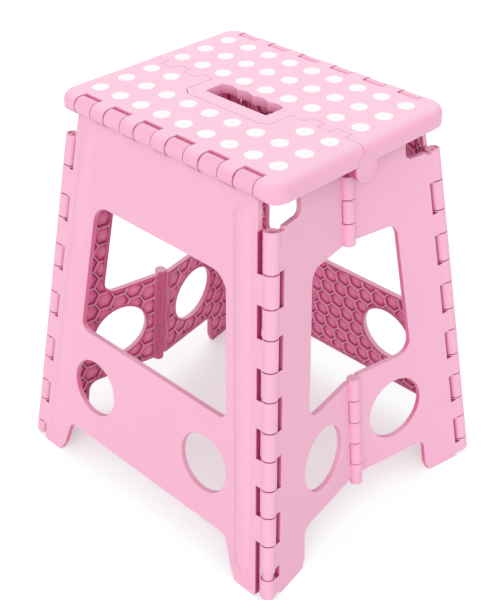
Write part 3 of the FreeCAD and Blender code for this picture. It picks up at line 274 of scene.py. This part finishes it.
def honeycomb_tree():
    """Geometry Nodes tree: cut a lattice of hexagonal plugs with crowned ends out of a slab."""
    tree = bpy.data.node_groups.new("honeycomb_ribs", "GeometryNodeTree")
    tree.interface.new_socket("Geometry", in_out="INPUT", socket_type="NodeSocketGeometry")
    for name in ("Pitch", "Rib", "Depth", "Crown", "Turn", "Top", "Pocket"):
        tree.interface.new_socket(name, in_out="INPUT", socket_type="NodeSocketFloat")
    for name in ("Columns", "Rows"):
        tree.interface.new_socket(name, in_out="INPUT", socket_type="NodeSocketInt")
    tree.interface.new_socket("Middle", in_out="INPUT", socket_type="NodeSocketVector")
    tree.interface.new_socket("Plastic", in_out="INPUT", socket_type="NodeSocketMaterial")
    tree.interface.new_socket("Geometry", in_out="OUTPUT", socket_type="NodeSocketGeometry")
    given = add(tree, "NodeGroupInput").outputs

    # Lattice: rows a little closer than the pitch, every other row moved by half of it
    row_pitch = add(tree, MATHS, {0: given["Pitch"], 1: sqrt(3) / 2}, operation="MULTIPLY")
    column_gaps = add(tree, MATHS, {0: given["Columns"], 1: 1.0}, operation="SUBTRACT")
    row_gaps = add(tree, MATHS, {0: given["Rows"], 1: 1.0}, operation="SUBTRACT")
    width = add(tree, MATHS, {0: given["Pitch"], 1: column_gaps}, operation="MULTIPLY")
    height = add(tree, MATHS, {0: row_pitch, 1: row_gaps}, operation="MULTIPLY")
    grid = add(tree, "GeometryNodeMeshGrid", {"Size X": width, "Size Y": height,
                                              "Vertices X": given["Columns"], "Vertices Y": given["Rows"]})
    index = add(tree, "GeometryNodeInputIndex")
    row = add(tree, MATHS, {0: index, 1: given["Rows"]}, operation="MODULO")
    odd = add(tree, MATHS, {0: row, 1: 2.0}, operation="MODULO")
    half_pitch = add(tree, MATHS, {0: given["Pitch"], 1: 0.5}, operation="MULTIPLY")
    aside = add(tree, MATHS, {0: odd, 1: half_pitch}, operation="MULTIPLY")
    shift = add(tree, "ShaderNodeCombineXYZ", {"X": aside})
    lattice = add(tree, "GeometryNodeSetPosition", {"Geometry": grid, "Offset": shift})
    turn = add(tree, "ShaderNodeCombineXYZ", {"Z": given["Turn"]})
    placed = add(tree, "GeometryNodeTransform", {"Geometry": lattice, "Rotation": turn,
                                                 "Translation": given["Middle"]})

    # Plug: a six-sided drum whose far end is dished, which leaves a crowned floor
    flats = add(tree, MATHS, {0: given["Pitch"], 1: given["Rib"]}, operation="SUBTRACT")
    radius = add(tree, MATHS, {0: flats, 1: sqrt(3)}, operation="DIVIDE")
    drum = add(tree, "GeometryNodeMeshCone", {"Vertices": 6, "Fill Segments": 3, "Radius Top": radius,
                                              "Radius Bottom": radius, "Depth": given["Depth"]},
               fill_type="TRIANGLE_FAN")
    place = add(tree, "GeometryNodeInputPosition")
    upwards = add(tree, "ShaderNodeSeparateXYZ", {0: place}).outputs["Z"]
    flat_place = add(tree, VECTOR, {0: place, 1: (1, 1, 0)}, operation="MULTIPLY")
    across = add(tree, VECTOR, {0: flat_place, 1: flat_place}, operation="DOT_PRODUCT").outputs["Value"]
    square = add(tree, MATHS, {0: radius, 1: radius}, operation="MULTIPLY")
    outer = add(tree, MATHS, {0: across, 1: square}, operation="DIVIDE")
    inner = add(tree, MATHS, {0: outer, 1: 1.0}, operation="SUBTRACT")
    middle_depth = add(tree, MATHS, {0: given["Depth"], 1: 0.5}, operation="MULTIPLY")
    far_end = add(tree, MATHS, {0: upwards, 1: middle_depth}, operation="GREATER_THAN")
    sink = add(tree, MATHS, {0: inner, 1: given["Crown"]}, operation="MULTIPLY")
    dish = add(tree, "ShaderNodeCombineXYZ", {"Z": sink})
    plug = add(tree, "GeometryNodeSetPosition", {"Geometry": drum, "Selection": far_end, "Offset": dish})
    plug_turn = add(tree, MATHS, {0: given["Turn"], 1: pi / 6}, operation="ADD")
    facing = add(tree, "ShaderNodeCombineXYZ", {"Z": plug_turn})
    plugs = add(tree, "GeometryNodeInstanceOnPoints", {"Points": placed, "Instance": plug,
                                                       "Rotation": facing})

    # Cut with the solver that always leaves a closed mesh, then mark each point with its depth in the pocket
    solid_plugs = add(tree, "GeometryNodeRealizeInstances", {"Geometry": plugs})
    cut = add(tree, "GeometryNodeMeshBoolean", {"Mesh 1": given["Geometry"], "Mesh 2": solid_plugs},
              operation="DIFFERENCE", solver="MANIFOLD")
    whole = add(tree, "GeometryNodeRealizeInstances", {"Geometry": cut})
    place = add(tree, "GeometryNodeInputPosition")
    level = add(tree, "ShaderNodeSeparateXYZ", {0: place}).outputs["Z"]
    below = add(tree, MATHS, {0: level, 1: given["Top"]}, operation="SUBTRACT")
    sunk = add(tree, MATHS, {0: below, 1: given["Pocket"]}, operation="DIVIDE")
    marked = add(tree, "GeometryNodeStoreNamedAttribute", {"Geometry": whole, "Name": "pocket_depth",
                                                           "Value": sunk},
                 data_type="FLOAT", domain="POINT")
    dressed = add(tree, "GeometryNodeSetMaterial", {"Geometry": marked, "Material": given["Plastic"]})
    add(tree, "NodeGroupOutput", {"Geometry": dressed})
    return tree


honeycomb = honeycomb_tree()
print("built", honeycomb.name, "with", len(honeycomb.nodes), "nodes")

# %% [markdown]
# ## Where the ribs go
# Each plate is a skin with a rim round it, so the floor of its recess already has the outline that the ribs
# need. The floor's triangles are found by the way they face and how deep they lie. A frame with X level,
# Y up the plate and Z outwards makes the honeycomb tree the same for panels and leaves.

# %% Fill the recesses with ribs
RIB_WIDTH = 1.2 * MM
RIB_SINK = 0.2 * MM
FLOOR_SKIN = 0.25 * MM
FLOOR_CROWN = 2.5 * MM
CUT_ABOVE = 1 * MM
ROW_FACTOR = 1.16
SHARP_ANGLE = radians(35)
WELD = 0.01 * MM
STEEP = 0.5
STRAIGHT_INWARD = -0.999
SAME_LEVEL = 0.06


def plate_frame(node):
    """Frame of a flat plate, from the direction that most of its surface faces."""
    totals = {}
    for face in node.data.polygons:
        key = tuple(round(c, 2) for c in face.normal)
        totals[key] = totals.get(key, 0) + face.area
    key = max((k for k in totals if abs(k[2]) < STEEP), key=totals.get)
    low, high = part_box(node.name)
    middle = (Vector(low) + Vector(high)) / 2
    exact = Vector((0, 0, 0))
    for face in node.data.polygons:
        if tuple(round(c, 2) for c in face.normal) == key:
            exact += face.normal * face.area
    outward = exact.normalized()
    if outward.x * middle.x + outward.y * middle.y < 0:
        outward.negate()
    level = Vector((-outward.y, outward.x, 0)).normalized()
    up = outward.cross(level)
    return Matrix((level, up, outward)).transposed().to_4x4()


def recess_slab(node, axes):
    """Closed slab over the floor of a plate's recess, in the plate's frame, and the depth of the recess."""
    local = axes.inverted()
    mesh = bmesh.new()
    mesh.from_mesh(node.data)
    mesh.transform(local)
    bmesh.ops.remove_doubles(mesh, verts=mesh.verts, dist=WELD)
    mesh.normal_update()
    inward = [face for face in mesh.faces if face.normal.z < STRAIGHT_INWARD]
    levels = {}
    for face in inward:
        key = round(face.calc_center_median().z / MM, 1)
        levels[key] = levels.get(key, 0) + face.calc_area()
    main = sorted(levels, key=levels.get)[-2:]
    floor_level = max(main)
    rim_level = min(main)
    keep = {face for face in inward if abs(face.calc_center_median().z / MM - floor_level) < SAME_LEVEL}
    others = [face for face in mesh.faces if face not in keep]
    bmesh.ops.delete(mesh, geom=others, context="FACES")
    depth = (floor_level - rim_level) * MM
    raised = bmesh.ops.extrude_face_region(mesh, geom=list(mesh.faces), use_keep_orig=True)
    moved = [item for item in raised["geom"] if isinstance(item, bmesh.types.BMVert)]
    bmesh.ops.translate(mesh, verts=moved, vec=(0, 0, RIB_SINK - depth))
    bmesh.ops.recalc_face_normals(mesh, faces=mesh.faces)
    return mesh, depth


def rib_piece(name, node, body, pitch, turn):
    """Honeycomb ribs in the recess of one plate, as a piece that rides with the plate."""
    axes = plate_frame(node)
    slab, depth = recess_slab(node, axes)
    corners = [vert.co for vert in slab.verts]
    low = Vector(min(c[i] for c in corners) for i in range(3))
    high = Vector(max(c[i] for c in corners) for i in range(3))
    mesh = bpy.data.meshes.new(name)
    slab.to_mesh(mesh)
    slab.free()
    work = bpy.data.objects.new(name + "_work", mesh)
    bpy.context.collection.objects.link(work)
    modifier = work.modifiers.new("ribs", "NODES")
    modifier.node_group = honeycomb
    reach = (high - low).length
    cutter = depth + CUT_ABOVE - FLOOR_SKIN
    middle = Vector(((low.x + high.x) / 2, (low.y + high.y) / 2, high.z - FLOOR_SKIN - cutter))
    values = {"Pitch": pitch, "Rib": RIB_WIDTH, "Depth": cutter, "Crown": FLOOR_CROWN, "Turn": turn,
              "Top": low.z, "Pocket": high.z - FLOOR_SKIN - low.z, "Columns": int(reach / pitch) + 2,
              "Rows": int(reach / pitch * ROW_FACTOR) + 2, "Middle": middle, "Plastic": ribbed}
    for item in honeycomb.interface.items_tree:
        if item.in_out == "INPUT" and item.name in values:
            modifier[item.identifier] = values[item.name]
    graph = bpy.context.evaluated_depsgraph_get()
    cut = bpy.data.meshes.new_from_object(work.evaluated_get(graph))
    bpy.data.objects.remove(work)
    cut.transform(axes)
    cut.name = name
    piece = bpy.data.objects.new(name, cut)
    bpy.context.collection.objects.link(piece)
    for face in cut.polygons:
        face.use_smooth = True
    cut.set_sharp_from_angle(angle=SHARP_ANGLE)
    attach(piece, body)
    print(name, "has", len(cut.polygons), "faces over a recess of", round(depth / MM, 2), "mm")


PANEL_PITCH = 21.0 * MM
PANEL_TURN = radians(-14)
LEAF_PITCH = 23.5 * MM
LEAF_TURN = radians(30)
for body in ("front_panel", "rear_panel"):
    rib_piece(body + "_ribs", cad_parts[body], body, PANEL_PITCH, PANEL_TURN)
for hand in ("right", "left"):
    for end in ("front", "rear"):
        leaf = f"{hand}_{end}_leaf"
        rib_piece(leaf + "_ribs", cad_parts[leaf], leaf, LEAF_PITCH, LEAF_TURN)

# %% [markdown]
# ## Floor and light
# The stool was photographed on a white sweep in soft light from all round. The floor takes part of its
# brightness from a glow that only the camera and reflections see, so it can be white without throwing more
# light on the plastic, and it still keeps the soft shadow between the feet. The room gives most of the light.
# A broad soft sun from the camera's side models the panels, and a weaker one from behind puts a sheen on the
# seat.

# %% White floor
# A trace of green in the grey makes up for the pink light that the stool throws on the floor
FLOOR_GREY = (0.77, 0.84, 0.82, 1.0)
FLOOR_GLOW = 0.36
SWEEP = 12.0
WHITE = (1.0, 1.0, 1.0, 1.0)


def seen_directly(tree):
    """Node that is 1 for rays from the camera, reflections and glass, and 0 for light that falls on things.

    The floor and the room share it.
    """
    path = add(tree, "ShaderNodeLightPath").outputs
    seen = add(tree, MATHS, {0: path["Is Camera Ray"], 1: path["Is Glossy Ray"]}, operation="MAXIMUM")
    return add(tree, MATHS, {0: seen, 1: path["Is Transmission Ray"]}, operation="MAXIMUM")


sweep = bpy.data.materials.new("white_studio_sweep")
sweep.use_nodes = True
matt = sweep.node_tree.nodes["Principled BSDF"]
matt.inputs["Base Color"].default_value = FLOOR_GREY
matt.inputs["Roughness"].default_value = 0.9
matt.inputs["Specular IOR Level"].default_value = 0.0
matt.inputs["Emission Color"].default_value = WHITE
glow = add(sweep.node_tree, MATHS, {0: seen_directly(sweep.node_tree), 1: FLOOR_GLOW}, operation="MULTIPLY")
sweep.node_tree.links.new(glow.outputs[0], matt.inputs["Emission Strength"])
floor_mesh = bpy.data.meshes.new("floor")
floor_corners = [(-SWEEP, -SWEEP, 0), (SWEEP, -SWEEP, 0), (SWEEP, SWEEP, 0), (-SWEEP, SWEEP, 0)]
floor_mesh.from_pydata(floor_corners, [], [(0, 1, 2, 3)])
floor_mesh.materials.append(sweep)
floor = bpy.data.objects.new("floor", floor_mesh)
bpy.context.collection.objects.link(floor)
print("floor of", 2 * SWEEP, "m")

# %% Lamps and room light
ROOM_LIGHT = 0.72
SOFT_BOX = radians(60)


def soft_sun(name, azimuth, elevation, strength):
    """Broad even light from one side, as from a large soft box far away."""
    light = bpy.data.lights.new(name, "SUN")
    light.energy = strength
    light.angle = SOFT_BOX
    thing = bpy.data.objects.new(name, light)
    side = Vector((sin(azimuth) * cos(elevation), -cos(azimuth) * cos(elevation), sin(elevation)))
    thing.rotation_euler = side.to_track_quat("Z", "Y").to_euler()
    bpy.context.collection.objects.link(thing)


soft_sun("key_from_camera_side", azimuth=radians(36), elevation=radians(27), strength=1.3)
soft_sun("sheen_from_behind", azimuth=radians(215), elevation=radians(40), strength=0.5)
world = bpy.data.worlds.new("white_room")
bpy.context.scene.world = world
world.use_nodes = True
sky = world.node_tree
strength = add(sky, RANGE, {"Value": seen_directly(sky), "To Min": ROOM_LIGHT, "To Max": 1.0})
background = sky.nodes["Background"]
background.inputs["Color"].default_value = WHITE
sky.links.new(strength.outputs["Result"], background.inputs["Strength"])
print("lit by the room and", len(bpy.data.lights), "suns")

# %% [markdown]
# ## The camera
# The photograph was taken from the front right corner, about a third of the way up to overhead, with a long
# lens. The lens and the small shift come from lining up the seat's corners, hinge lines and feet.

# %% Camera
IMAGE_WIDTH = 504
IMAGE_HEIGHT = 600
FOCAL_PIXELS = 1162.7
CENTRE_PIXEL = (239.3, 300.3)
CAMERA_PLACE = Vector((764.6, -774.0, 927.2)) * MM
AZIMUTH = radians(45.30)
ELEVATION = radians(33.63)
ROLL = radians(-0.25)
back = Vector((sin(AZIMUTH) * cos(ELEVATION), -cos(AZIMUTH) * cos(ELEVATION), sin(ELEVATION)))
level = Vector((cos(AZIMUTH), sin(AZIMUTH), 0))
upright = back.cross(level)
right = level * cos(ROLL) + upright * sin(ROLL)
up = back.cross(right)
camera = bpy.data.objects.new("camera", bpy.data.cameras.new("camera"))
camera.data.sensor_width = 36.0
camera.data.lens = FOCAL_PIXELS * camera.data.sensor_width / IMAGE_HEIGHT
camera.data.shift_x = (IMAGE_WIDTH / 2 - CENTRE_PIXEL[0]) / IMAGE_HEIGHT
camera.data.shift_y = (CENTRE_PIXEL[1] - IMAGE_HEIGHT / 2) / IMAGE_HEIGHT
camera.matrix_world = Matrix((right, up, back)).transposed().to_4x4()
camera.location = CAMERA_PLACE
bpy.context.collection.objects.link(camera)
bpy.context.scene.camera = camera
bpy.context.scene.view_settings.view_transform = "Standard"
print("camera lens", round(camera.data.lens, 1), "mm")
